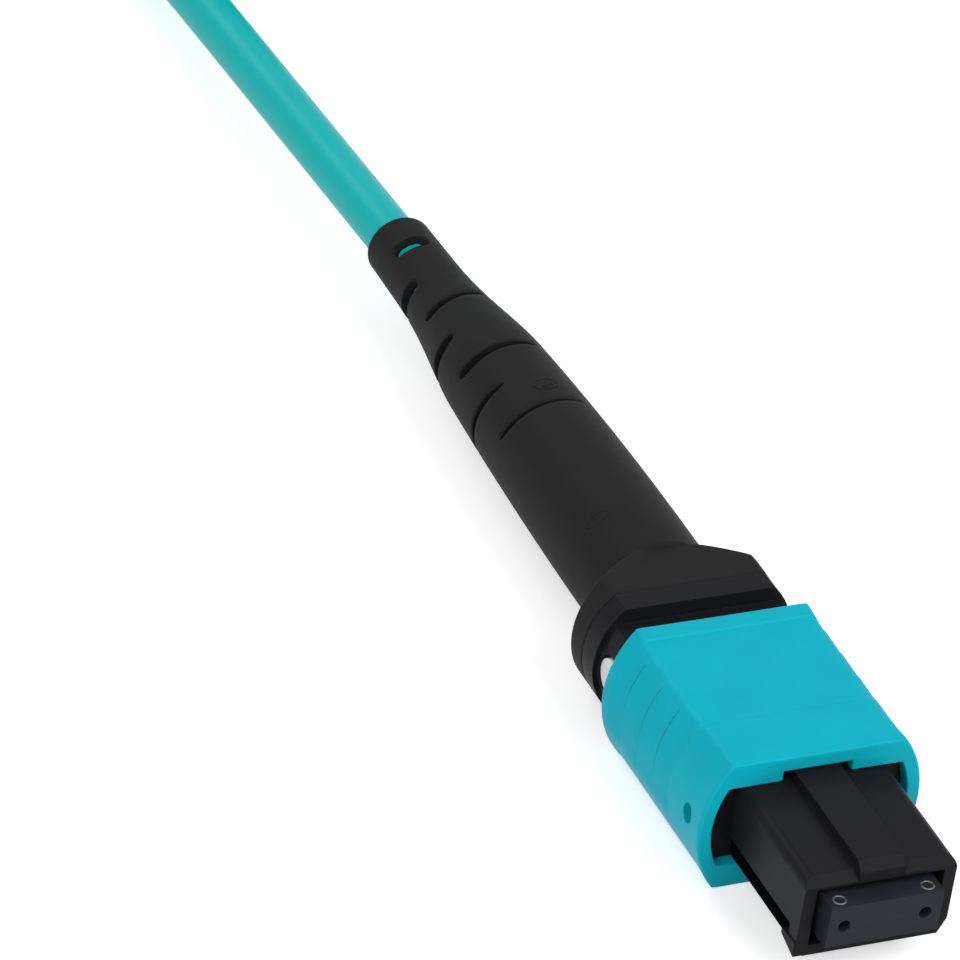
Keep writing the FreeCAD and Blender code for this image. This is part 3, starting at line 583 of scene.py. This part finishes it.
def slot_shape(number, angle):
    """Half width of a slot at an angle, and how deep it goes there, from 0 to 1."""
    half_w, kind, _ = SLOTS[number]
    for middle, half_span in SLOT_ARCS[kind]:
        share = ((math.degrees(angle) - middle + 180) % 360 - 180) / half_span
        if abs(share) < 1:
            if kind == "top":
                half_w *= 1 - SLOT_THINNING + SLOT_THINNING * share
            depth = eased((1 - abs(share)) * half_span / SLOT_RUNOUT)
            return max(SLOT_MIN_HALF_W, half_w * math.sqrt(1 - share ** 6)), depth
    return SLOT_MIN_HALF_W, 0.0


def slotted_point(y, number, across, angle):
    """Place along the boot and radius of a point on one of the rows across a slot."""
    half_w, depth = slot_shape(number, angle)
    steps = (0.0, half_w * 0.5, half_w - WALL_LEAN * depth, half_w, half_w + LIP_L,
             SLOT_INNER_ROW, SLOT_OUTER_ROW)
    y += math.copysign(steps[abs(across)], across)
    radius = body_radius(y, angle)
    if abs(across) == BRINK_STEP:
        radius -= LIP_SINK * depth
    elif abs(across) < BRINK_STEP:
        floor = OPEN_FLOOR_R if SLOTS[number][2] else max(radius - SLOT_DEPTH, SLOT_FLOOR_R)
        radius += (floor - radius) * depth
    return y, radius


def pull_at(y):
    """How far the near boot's axis is pulled aside at y."""
    share = max(0.0, (y - PULL_FROM) / (BOOT_END - PULL_FROM))
    return TIP_PULL[0] * share * share, TIP_PULL[1] * share * share


def surface_ring(y, angle, along, across, bead):
    """Points and faces of a low ring on the near boot: half sizes along and around it, and its bead."""
    around, sides = 40, 8
    middle_r = body_radius(y, angle)
    points = []
    for a in full_turn(around):
        for b in full_turn(sides):
            at_y = y + (along + bead * math.cos(b)) * math.cos(a)
            at_angle = angle + (across + bead * math.cos(b)) * math.sin(a) / middle_r
            radius = body_radius(at_y, at_angle) + bead * BEAD_HEIGHT * math.sin(b)
            points.append(around_axis(radius, at_angle, at_y, pull_at(at_y)))
    return points, closed_faces(around, sides)


def boot_mesh(name, place, pulled):
    """A boot. Its rim turns into the mouth, and its front into the seam behind the housing."""
    rows = boot_rows()
    angles = full_turn(BOOT_COLUMNS)
    points = []
    for row_y, number, across in rows:
        for angle in angles:
            if number is None:
                y, radius = row_y, body_radius(row_y, angle)
            else:
                y, radius = slotted_point(row_y, number, across, angle)
            points.append(around_axis(radius, angle, y, pull_at(y) if pulled else NOT_PULLED))
    for from_end, wider in MOUTH_RINGS:
        y = BOOT_END - from_end
        aside = pull_at(y) if pulled else NOT_PULLED
        points += [around_axis(BOOT_MOUTH_R + wider, angle, y, aside) for angle in angles]
    front_ring = len(points)
    points += [around_axis(FRONT_HOLE_R, angle, BOOT_START) for angle in angles]
    faces = stacked_faces(len(rows) + len(MOUTH_RINGS), BOOT_COLUMNS)
    faces += band_faces(front_ring, 0, BOOT_COLUMNS)
    if pulled:
        for mark in MOULD_MARKS:
            ring_points, ring_faces = surface_ring(*mark)
            faces += [[len(points) + corner for corner in face] for face in ring_faces]
            points += ring_points
    return finish_mesh(name, points, faces, place)


def make_boots():
    boots = []
    for which, prefix, place in PLUGS:
        name = "boot_" + which
        boot = add_piece(name, boot_mesh(name, place, which == "near"), "plug", "boot_black")
        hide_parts(prefix + "strain_relief_boot")
        boots.append(boot)
    return boots[1]


# ---------------------------------------------------------------- coupling sleeves

SLEEVE_HALF_H = 3.95
SLEEVE_R = 6.25
RIM_R = 6.33
PAD_HALF_H = 3.83
# The top and bottom lie a little lower between the rims, and their edges are rounder there.
PAD_FRONT = SLEEVE_FRONT + 3.65
PAD_REAR = SLEEVE_REAR - 1.05
PAD_STEP = 0.12
SOFT_EDGE = 0.55
SHARP_EDGE = 0.06
# The edges turn soft from this far behind the front and ahead of the rear, over this length.
SOFTEN_FRONT, SOFTEN_FRONT_L = 0.8, 2.0
SOFTEN_REAR, SOFTEN_REAR_L = 0.9, 0.6
# Finger grips: crests along the plug, each with a quick fall behind it and a fine mould line on it.
GRIPS = [12.85, 14.85, 16.9, 18.95]
GRIP_FALL = 0.24
GRIP_DEPTH = 0.25
GRIP_TOP_Z = 3.9
GRIP_TOP_FADE = 1.2
GRIP_LOW_Z = -2.2
GRIP_FADE = 1.2
LAST_RAMP_END = PAD_REAR + 0.3
CREST_LINE_DEPTHS = [0.08, 0.32, 0.22, 0.22]
CREST_LINE_HALF_W = 0.07
CREST_LINE_TOP_Z = 3.4
CREST_LINE_FADE = 0.5
# The rims are a little wider, and the sides run down from them over this length.
RIM_L = 1.3
SLEEVE_END_ROUND = 0.16
# The bore widens by BORE_FLARE over BORE_EDGE at both ends.
BORE_HALF_W = 5.55
BORE_HALF_H = 2.48
BORE_FLAT = 4.93
BORE_EDGE = 0.06
BORE_FLARE = 0.05
KEYWAY_HALF_W = 2.0
KEYWAY_LOW_Z = 1.0
KEYWAY_TOP_Z = 3.12
KEYWAY_L = 9.0
# The hole in the left wall is an upright oval.
SIDE_HOLE_FROM_FRONT = 1.62
SIDE_HOLE_HALF_L = 0.46
SIDE_HOLE_HALF_H = 0.6
SIDE_HOLE_X = (-7.5, -5.2)
CUTTER_END = 1.0
SLEEVE_COLUMNS = 240
SLEEVE_ROW_GAP = 0.35
SLEEVE_CREASE = 35


def grip_height(y):
    """The saw-tooth of the finger grips at y, from -1 behind a crest to 0 on it."""
    for crest in GRIPS:
        if crest <= y < crest + GRIP_FALL:
            return -(y - crest) / GRIP_FALL
    ahead = [crest for crest in GRIPS if crest > y]
    behind = [crest for crest in GRIPS if crest <= y]
    if not behind:
        return 0.0
    start = behind[-1] + GRIP_FALL
    end = ahead[0] if ahead else LAST_RAMP_END
    return -1 + min(1.0, (y - start) / (end - start))


def sleeve_radius(y, angle):
    """Outside of the sleeve."""
    from_front = y - SLEEVE_FRONT
    from_rear = SLEEVE_REAR - y
    rim = max(1 - eased(from_front / RIM_L), 1 - eased(from_rear / RIM_L))
    inside = eased((y - PAD_FRONT) / PAD_STEP) * eased((PAD_REAR - y) / PAD_STEP)
    side = SLEEVE_R + (RIM_R - SLEEVE_R) * rim
    z = side * math.sin(angle)
    low_fade = eased((z - GRIP_LOW_Z) / GRIP_FADE)
    side += GRIP_DEPTH * grip_height(y) * (eased((GRIP_TOP_Z - z) / GRIP_TOP_FADE) * low_fade)
    line_reach = eased((CREST_LINE_TOP_Z - z) / CREST_LINE_FADE) * low_fade
    for crest, depth in zip(GRIPS, CREST_LINE_DEPTHS):
        side -= depth * line_reach * max(0.0, 1 - abs(y - crest) / CREST_LINE_HALF_W)
    half_h = SLEEVE_HALF_H + (PAD_HALF_H - SLEEVE_HALF_H) * inside
    flat = half_h / max(abs(math.sin(angle)), TINY)
    soften = eased((from_front - SOFTEN_FRONT) / SOFTEN_FRONT_L)
    soften *= eased((from_rear - SOFTEN_REAR) / SOFTEN_REAR_L)
    radius = soft_min(side, flat, SHARP_EDGE + (SOFT_EDGE - SHARP_EDGE) * soften)
    radius -= rounded_end(from_front, SLEEVE_END_ROUND)
    return radius - rounded_end(from_rear, SLEEVE_END_ROUND)


def sleeve_stations():
    """Places of the sleeve's rows, close together where its surface turns."""
    fine = []
    for crest in GRIPS:
        fine += [crest + d for d in (-0.25, -0.10, -0.07, 0, 0.07, 0.10)]
        fine += [crest + GRIP_FALL + d for d in (-0.08, -0.02, 0.05, 0.3)]
    for edge, way in ((SLEEVE_FRONT, 1), (SLEEVE_REAR, -1)):
        fine += [edge + way * d for d in (0.0, 0.01, 0.03, 0.06, 0.1, 0.16, 0.3, 0.6, 0.9, 1.2)]
    for edge, way in ((PAD_FRONT, 1), (PAD_REAR, -1)):
        fine += [edge + way * PAD_STEP * share for share in (-0.4, 0, 0.25, 0.5, 0.75, 1, 1.4)]
    y = SLEEVE_FRONT
    while y < SLEEVE_REAR:
        if min(abs(y - other) for other in fine) > 0.2:
            fine.append(y)
        y += SLEEVE_ROW_GAP
    return sorted(fine)


def combine(piece, operation, other_mesh, material=None):
    """Cuts a closed mesh out of a piece or welds it on. The new faces can have another material."""
    other = bpy.data.objects.new("other", other_mesh)
    bpy.context.scene.collection.objects.link(other)
    step = piece.modifiers.new("combine", "BOOLEAN")
    step.operation = operation
    if material:
        other_mesh.materials.append(MATERIALS[material])
        step.material_mode = "TRANSFER"
    step.object = other
    bpy.context.view_layer.update()
    seen = piece.evaluated_get(bpy.context.evaluated_depsgraph_get())
    mesh = bpy.data.meshes.new_from_object(seen)
    merge_points(mesh)
    piece.modifiers.remove(step)
    bpy.data.objects.remove(other)
    piece.data = mesh


def keyway_mesh(place):
    """The channel for the key, open at the sleeve's front."""
    section = [(-KEYWAY_HALF_W, KEYWAY_LOW_Z), (KEYWAY_HALF_W, KEYWAY_LOW_Z),
               (KEYWAY_HALF_W, KEYWAY_TOP_Z), (-KEYWAY_HALF_W, KEYWAY_TOP_Z)]
    return rod_mesh("keyway", section, (SLEEVE_FRONT - CUTTER_END, SLEEVE_FRONT + KEYWAY_L), 1, place)


def side_hole_mesh(place):
    middle_y = SLEEVE_FRONT + SIDE_HOLE_FROM_FRONT
    section = [(middle_y + SIDE_HOLE_HALF_L * math.cos(a), SIDE_HOLE_HALF_H * math.sin(a))
               for a in full_turn(40)]
    return rod_mesh("side_hole", section, SIDE_HOLE_X, 0, place)


def sleeve_mesh(name, place):
    angles = full_turn(SLEEVE_COLUMNS, 0.5)
    points = []
    stations = sleeve_stations()
    for y in stations:
        points += [around_axis(sleeve_radius(y, angle), angle, y) for angle in angles]
    bore = [(SLEEVE_REAR, BORE_FLARE), (SLEEVE_REAR - BORE_EDGE, 0.0),
            (SLEEVE_FRONT + BORE_EDGE, 0.0), (SLEEVE_FRONT, BORE_FLARE)]
    for y, wider in bore:
        for angle in angles:
            radius = min(bowed_outline(angle, BORE_HALF_W, BORE_HALF_H, BORE_FLAT)) + wider
            points.append(around_axis(radius, angle, y))
    faces = closed_faces(len(stations) + len(bore), SLEEVE_COLUMNS)
    return finish_mesh(name, points, faces, place, SLEEVE_CREASE)


def make_sleeves():
    """Both sleeves, each with its keyway and the small hole in its left side."""
    sleeves = []
    for which, prefix, place in PLUGS:
        name = "sleeve_" + which
        sleeve = add_piece(name, sleeve_mesh(name, place), prefix + "sleeve", "sleeve_aqua")
        combine(sleeve, "DIFFERENCE", keyway_mesh(place))
        combine(sleeve, "DIFFERENCE", side_hole_mesh(place))
        sleeve.data.set_sharp_from_angle(angle=math.radians(SLEEVE_CREASE))
        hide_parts(prefix + "coupling_sleeve")
        sleeves.append(sleeve)
    return sleeves[1]


# ---------------------------------------------------------------- inner housings

# The undercut along both lower sides of the nose: its reach in x and z, how far it starts behind
# the nose's front, and how far it goes on inside the sleeve.
UNDERCUT_X = (3.88, 5.2)
UNDERCUT_Z = (-0.88, -3.0)
UNDERCUT_START = 0.9
UNDERCUT_PAST = 0.5
# The wedge-shaped foot at the lower left corner of the nose's front ring: its reach in x, its
# length, its bottom and top at the front and at the rear, and how proud of the front it is.
FOOT_X = (-4.37, -3.7)
FOOT_L = 1.5
FOOT_FRONT_Z = (-2.36, -1.5)
FOOT_REAR_Z = (-1.9, -1.6)
FOOT_PROUD = 0.005


def undercut_mesh(side, place):
    inner, outer = side * UNDERCUT_X[0], side * UNDERCUT_X[1]
    top, bottom = UNDERCUT_Z
    section = [(inner, top), (outer, top), (outer, bottom), (inner, bottom)]
    ends = (NOSE_FRONT + UNDERCUT_START, SLEEVE_FRONT + UNDERCUT_PAST)
    return rod_mesh("undercut", section, ends, 1, place)


def foot_mesh(place):
    front = NOSE_FRONT - FOOT_PROUD
    rear = NOSE_FRONT + FOOT_L
    section = [(front, FOOT_FRONT_Z[0]), (rear, FOOT_REAR_Z[0]), (rear, FOOT_REAR_Z[1]),
               (front, FOOT_FRONT_Z[1])]
    return rod_mesh("foot", section, FOOT_X, 0, place)


def make_housings():
    """The modelled housings again, each with its undercuts and its foot."""
    housings = []
    for which, prefix, place in PLUGS:
        node = prefix + "inner_housing"
        housing = add_piece("housing_" + which, node_mesh(node), "plug", "housing_black")
        for side in (-1, 1):
            # The undercut's new faces take the darker black: painted shade.
            combine(housing, "DIFFERENCE", undercut_mesh(side, place), "recess_painted_shade")
        combine(housing, "UNION", foot_mesh(place))
        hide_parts(node)
        housings.append(housing)
    return housings[1]


# ---------------------------------------------------------------- springs and ribbon

def make_soft_copies():
    """The springs and the ribbon again, as pieces of their own that ride on their joints' parents."""
    record = frame["record"]
    finishes = {row["node"]: row["material_slot"] for row in record["subparts"]}
    for joint in record["behaviour"]["joints"]:
        for row in joint.get("deforming_nodes", []):
            node, fixed = row["node"], row["fixed_end_y_m"]
            piece = add_piece(node + "_soft", node_mesh(node), joint["parent"], finishes[node])
            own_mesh(piece)
            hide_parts(node)


# ---------------------------------------------------------------- ferrule details

FIBRE_COUNT = 12
FIBRE_PITCH = 0.25
FIBRE_D = 0.125
# A fibre end's rings of points: share of its radius, and place along the plug.
FIBRE_RINGS = [(1.0, 0.02), (1.0, -0.001), (0.5, -0.003)]
RING_X = 2.5
RING_Y = 0.6
RING_D = 0.66
RING_BEAD_R = 0.065
RING_BEAD_HEIGHT = 0.8
FERRULE_TOP_Z = 1.25


def fibre_ends(name, place):
    """Polished fibre ends in a row across the ferrule face, a hair proud of it."""
    points = []
    faces = []
    sides = 16
    for i in range(FIBRE_COUNT):
        x = (i - (FIBRE_COUNT - 1) / 2) * FIBRE_PITCH
        start = len(points)
        for share, y in FIBRE_RINGS:
            points += [around_axis(FIBRE_D / 2 * share, angle, y, (x, 0.0)) for angle in full_turn(sides)]
        faces += stacked_faces(len(FIBRE_RINGS), sides, start)
        faces.append(list(range(len(points) - sides, len(points))))
    return finish_mesh(name, points, faces, place)


def ring_marks(name, place):
    """Two shallow moulded rings on top of the ferrule, over its guide holes."""
    points = []
    faces = []
    around, tube = 32, 10
    for side in (-1, 1):
        faces += closed_faces(around, tube, len(points))
        for a in full_turn(around):
            for b in full_turn(tube):
                radius = RING_D / 2 + RING_BEAD_R * math.cos(b)
                points.append((side * RING_X + radius * math.cos(a), RING_Y + radius * math.sin(a),
                               FERRULE_TOP_Z + RING_BEAD_R * math.sin(b) * RING_BEAD_HEIGHT))
    return finish_mesh(name, points, faces, place)


def make_ferrule_details():
    details = []
    for which, prefix, place in PLUGS:
        body = prefix + "ferrule"
        ends_name = "fibre_ends_" + which
        marks_name = "ring_marks_" + which
        ends = add_piece(ends_name, fibre_ends(ends_name, place), body, "epoxy_dark", "fibre_glass")
        # The rings take the lighter, glossy black: a painted glint.
        marks = add_piece(marks_name, ring_marks(marks_name, place), body, "ferrule_black", "ring_painted_glint")
        details.append([ends, marks])
    return details[1]


# ---------------------------------------------------------------- cord tie

STRAP_T = 0.00045
STRAP_CORNER_R = 0.0022
STRAP_CORNER_STEPS = 8
# The strap's long edges are rounded off: how far in along y, and which share of its thickness.
STRAP_EDGE = 0.00012
STRAP_PINCH = 0.125


def strap_outline(low, high, inset):
    """A rounded rectangle in x and z, inside a box by an inset."""
    radius = STRAP_CORNER_R - inset
    x0, x1 = low.x + inset, high.x - inset
    z0, z1 = low.z + inset, high.z - inset
    centres = [(x1 - radius, z1 - radius, 0), (x0 + radius, z1 - radius, 90),
               (x0 + radius, z0 + radius, 180), (x1 - radius, z0 + radius, 270)]
    points = []
    for centre_x, centre_z, turn in centres:
        for i in range(STRAP_CORNER_STEPS + 1):
            angle = math.radians(turn + 90 * i / STRAP_CORNER_STEPS)
            points.append((centre_x + radius * math.cos(angle), centre_z + radius * math.sin(angle)))
    return points


def make_tie():
    """A woven strap pulled around the hank."""
    low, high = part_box("cord_tie")
    outer = strap_outline(low, high, 0.0)
    inner = strap_outline(low, high, STRAP_T)
    # The strap's section: a face, the face across from it, a place in y, and the share of the way
    # to the other face.
    section = [(outer, inner, low.y + STRAP_EDGE, 0.0), (outer, inner, high.y - STRAP_EDGE, 0.0),
               (outer, inner, high.y, STRAP_PINCH), (inner, outer, high.y, STRAP_PINCH),
               (inner, outer, high.y - STRAP_EDGE, 0.0), (inner, outer, low.y + STRAP_EDGE, 0.0),
               (inner, outer, low.y, STRAP_PINCH), (outer, inner, low.y, STRAP_PINCH)]
    points = []
    for ring, other, y, share in section:
        for (x, z), (x2, z2) in zip(ring, other):
            points.append((x + (x2 - x) * share, y, z + (z2 - z) * share))
    faces = closed_faces(len(section), len(outer))
    mesh = finish_mesh("tie_strap", points, faces, Matrix.Identity(4), 35)
    strap = add_piece("tie_strap", mesh, "plug", "tie_black")
    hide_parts("cord_tie")
    return strap


cord = make_cord()
far_boot = make_boots()
far_sleeve = make_sleeves()
far_housing = make_housings()
far_details = make_ferrule_details()
strap = make_tie()
make_soft_copies()
on_cord = [nodes["far_polarity_dot"], nodes["far_mt_ferrule"]]
on_cord += [strap, far_boot, far_sleeve, far_housing] + far_details


# ---------------------------------------------------------------- stage, light and camera

FLOOR_REACH = 3.0
FLOOR_LIFT = 0.52
WORLD_LEVEL = 0.34
LAMP_TARGET = (0, 0, 0.004)


def seen_directly(tree):
    """One for the camera, mirror-like and see-through rays, so that they meet a white backdrop."""
    path = tree.nodes.new("ShaderNodeLightPath")
    total = path.outputs["Is Camera Ray"]
    for name in ("Is Glossy Ray", "Is Transmission Ray"):
        node = tree.nodes.new("ShaderNodeMath")
        node.operation = "ADD"
        node.use_clamp = True
        tree.links.new(total, node.inputs[0])
        tree.links.new(path.outputs[name], node.inputs[1])
        total = node.outputs[0]
    return total


def add_floor():
    mesh = bpy.data.meshes.new("floor")
    corners = [(x * FLOOR_REACH, y * FLOOR_REACH, 0) for x, y in ((-1, -1), (1, -1), (1, 1), (-1, 1))]
    mesh.from_pydata(corners, [], [(0, 1, 2, 3)])
    floor = bpy.data.objects.new("floor", mesh)
    bpy.context.scene.collection.objects.link(floor)
    material, tree, shader = new_material("floor")
    output = tree.nodes["Material Output"]
    shader.inputs["Base Color"].default_value = (0.86, 0.86, 0.86, 1)
    shader.inputs["Roughness"].default_value = 0.9
    glow = tree.nodes.new("ShaderNodeEmission")
    tree.links.new(add_range(tree, seen_directly(tree), 0.0, FLOOR_LIFT), glow.inputs["Strength"])
    total = tree.nodes.new("ShaderNodeAddShader")
    tree.links.new(shader.outputs[0], total.inputs[0])
    tree.links.new(glow.outputs[0], total.inputs[1])
    tree.links.new(total.outputs[0], output.inputs["Surface"])
    mesh.materials.append(material)


def add_world():
    world = bpy.data.worlds.new("studio")
    bpy.context.scene.world = world
    world.use_nodes = True
    tree = world.node_tree
    background = tree.nodes["Background"]
    background.inputs["Color"].default_value = (1, 1, 1, 1)
    tree.links.new(add_range(tree, seen_directly(tree), WORLD_LEVEL, 1.0), background.inputs["Strength"])


def add_lamp(name, at, size, power):
    light = bpy.data.lights.new(name, "AREA")
    light.shape = "DISK"
    light.size = size
    light.energy = power
    lamp = bpy.data.objects.new(name, light)
    bpy.context.scene.collection.objects.link(lamp)
    lamp.location = at
    lamp.rotation_euler = (Vector(LAMP_TARGET) - Vector(at)).to_track_quat("-Z", "Y").to_euler()


# The camera looks at the plug from the front, its left and above.
CAMERA_AZIMUTH = math.radians(-28.443)
CAMERA_ELEVATION = math.radians(34.401)
CAMERA_ROLL = math.radians(8.831)
CAMERA_DISTANCE = 0.4
CAMERA_LENS = 296.625
CAMERA_SENSOR = 36.0
# How far the picture's centre lies from the ferrule face, along the picture's sides.
CAMERA_OFFSET = (-0.020472, 0.022213)


def add_camera():
    a, e, r = CAMERA_AZIMUTH, CAMERA_ELEVATION, CAMERA_ROLL
    back = Vector((math.sin(a) * math.cos(e), -math.cos(a) * math.cos(e), math.sin(e)))
    level = Vector((math.cos(a), math.sin(a), 0))
    up = back.cross(level)
    side = level * math.cos(r) + up * math.sin(r)
    top = up * math.cos(r) - level * math.sin(r)
    data = bpy.data.cameras.new("camera")
    data.lens = CAMERA_LENS
    data.sensor_width = CAMERA_SENSOR
    data.clip_start = 0.01
    data.clip_end = 20.0
    camera = bpy.data.objects.new("camera", data)
    bpy.context.scene.collection.objects.link(camera)
    eye = FRONT + back * CAMERA_DISTANCE + side * CAMERA_OFFSET[0] + top * CAMERA_OFFSET[1]
    turn = Matrix((side, top, back)).transposed().to_4x4()
    camera.matrix_world = Matrix.Translation(eye) @ turn
    bpy.context.scene.camera = camera


add_floor()
add_world()
add_lamp("key", (0.27, -0.40, 0.51), 0.55, 2.6)
add_lamp("fill", (-0.45, -0.30, 0.45), 0.50, 1.6)
add_lamp("rim", (-0.16, 0.55, 0.48), 0.3, 0.8)
add_camera()

bpy.context.scene.view_settings.view_transform = "Standard"
